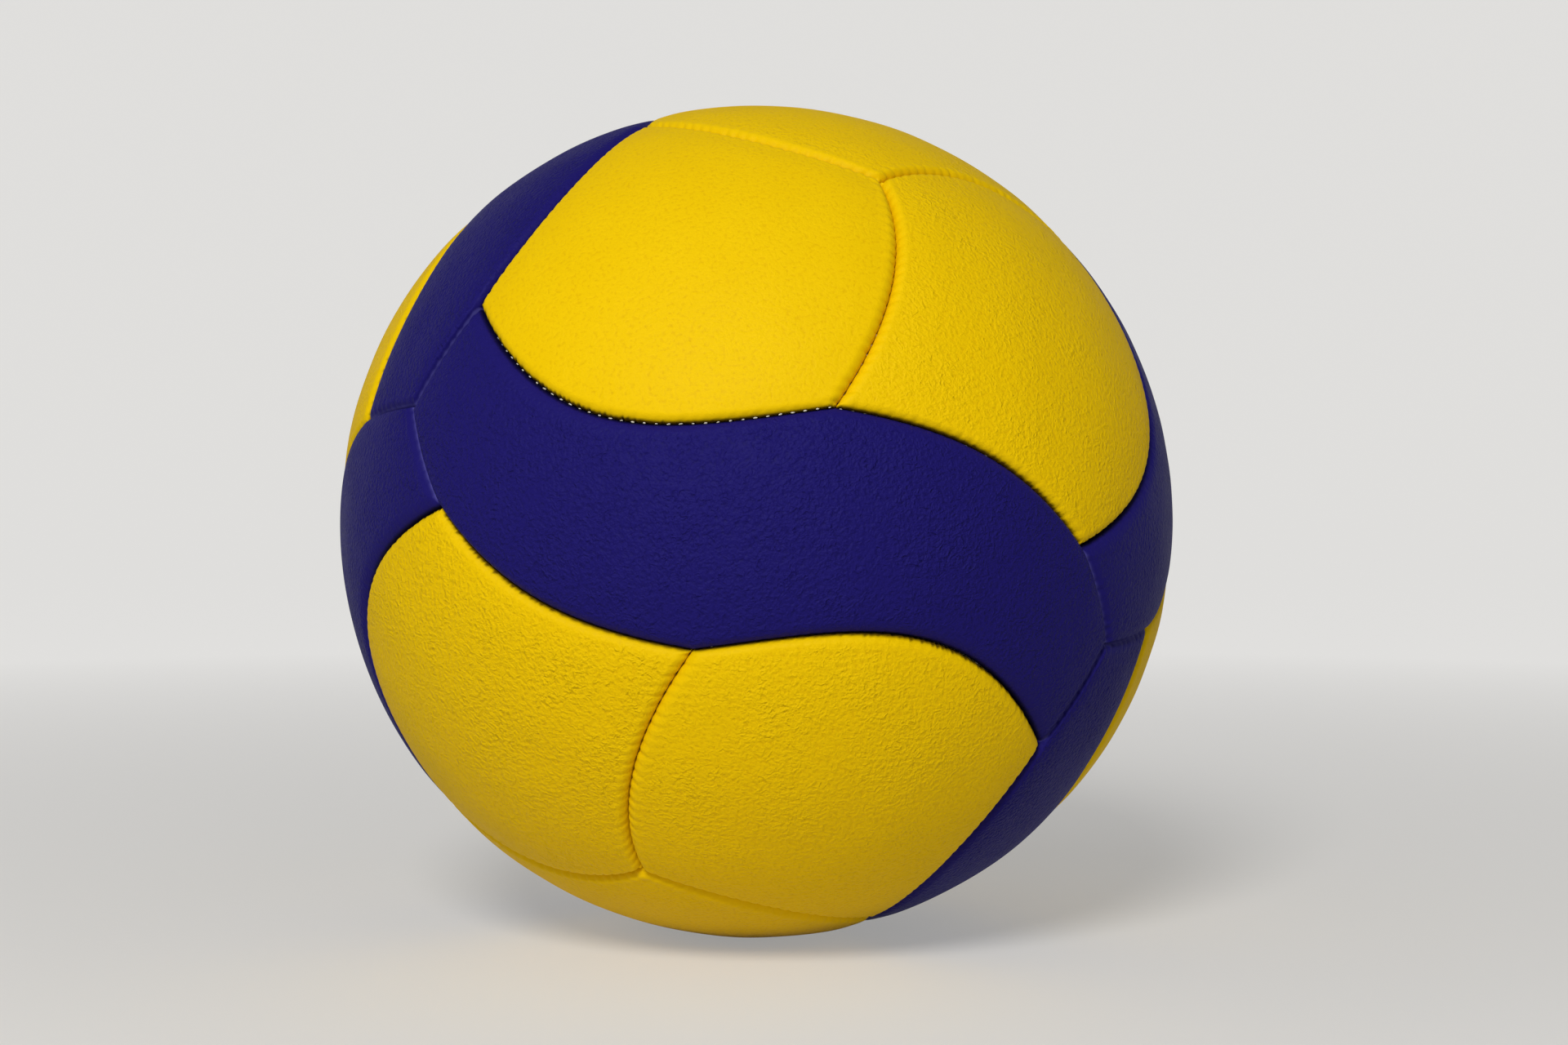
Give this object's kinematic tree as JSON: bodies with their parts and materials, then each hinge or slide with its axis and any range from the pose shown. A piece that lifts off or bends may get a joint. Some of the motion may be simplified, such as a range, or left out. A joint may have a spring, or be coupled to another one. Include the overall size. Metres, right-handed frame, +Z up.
{
  "type": "volleyball",
  "caption": "Stitched indoor volleyball: padded S-shaped and kite-shaped panels with turned-in hems over foam, a cloth carcass and a rubber bladder with a needle valve.",
  "frame": {"origin": "centre of the ball", "axes": "+Z up as the ball stands in the picture, +Y out through the valve, and the panel that faces the camera faces -Y"},
  "size_m": [0.2094, 0.2099, 0.21],
  "materials": {
    "blue_leather": "grained synthetic leather, semi-matt",
    "yellow_leather": "grained synthetic leather, semi-matt",
    "foam": "soft closed-cell foam",
    "cloth": "plain woven cotton",
    "bladder_rubber": "thin butyl rubber",
    "valve_rubber": "moulded rubber"
  },
  "bodies": {
    "root": {"cover_blue_front": "blue_leather", "cover_blue_back": "blue_leather", "cover_blue_right": "blue_leather", "cover_blue_left": "blue_leather", "cover_blue_top": "blue_leather", "cover_blue_bottom": "blue_leather", "cover_yellow_top_front_a": "yellow_leather", "cover_yellow_top_front_b": "yellow_leather", "cover_yellow_top_front_c": "yellow_leather", "cover_yellow_right_back_a": "yellow_leather", "cover_yellow_right_back_b": "yellow_leather", "cover_yellow_right_back_c": "yellow_leather", "cover_yellow_left_back_a": "yellow_leather", "cover_yellow_left_back_b": "yellow_leather", "cover_yellow_left_back_c": "yellow_leather", "cover_yellow_bottom_front_a": "yellow_leather", "cover_yellow_bottom_front_b": "yellow_leather", "cover_yellow_bottom_front_c": "yellow_leather", "pad_blue_front": "foam", "pad_blue_back": "foam", "pad_blue_right": "foam", "pad_blue_left": "foam", "pad_blue_top": "foam", "pad_blue_bottom": "foam", "pad_yellow_top_front_a": "foam", "pad_yellow_top_front_b": "foam", "pad_yellow_top_front_c": "foam", "pad_yellow_right_back_a": "foam", "pad_yellow_right_back_b": "foam", "pad_yellow_right_back_c": "foam", "pad_yellow_left_back_a": "foam", "pad_yellow_left_back_b": "foam", "pad_yellow_left_back_c": "foam", "pad_yellow_bottom_front_a": "foam", "pad_yellow_bottom_front_b": "foam", "pad_yellow_bottom_front_c": "foam", "cloth_cup_front": "cloth", "cloth_cup_back": "cloth", "bladder": "bladder_rubber", "valve_stem": "valve_rubber", "valve_core": "valve_rubber"}
  },
  "joints": []
}
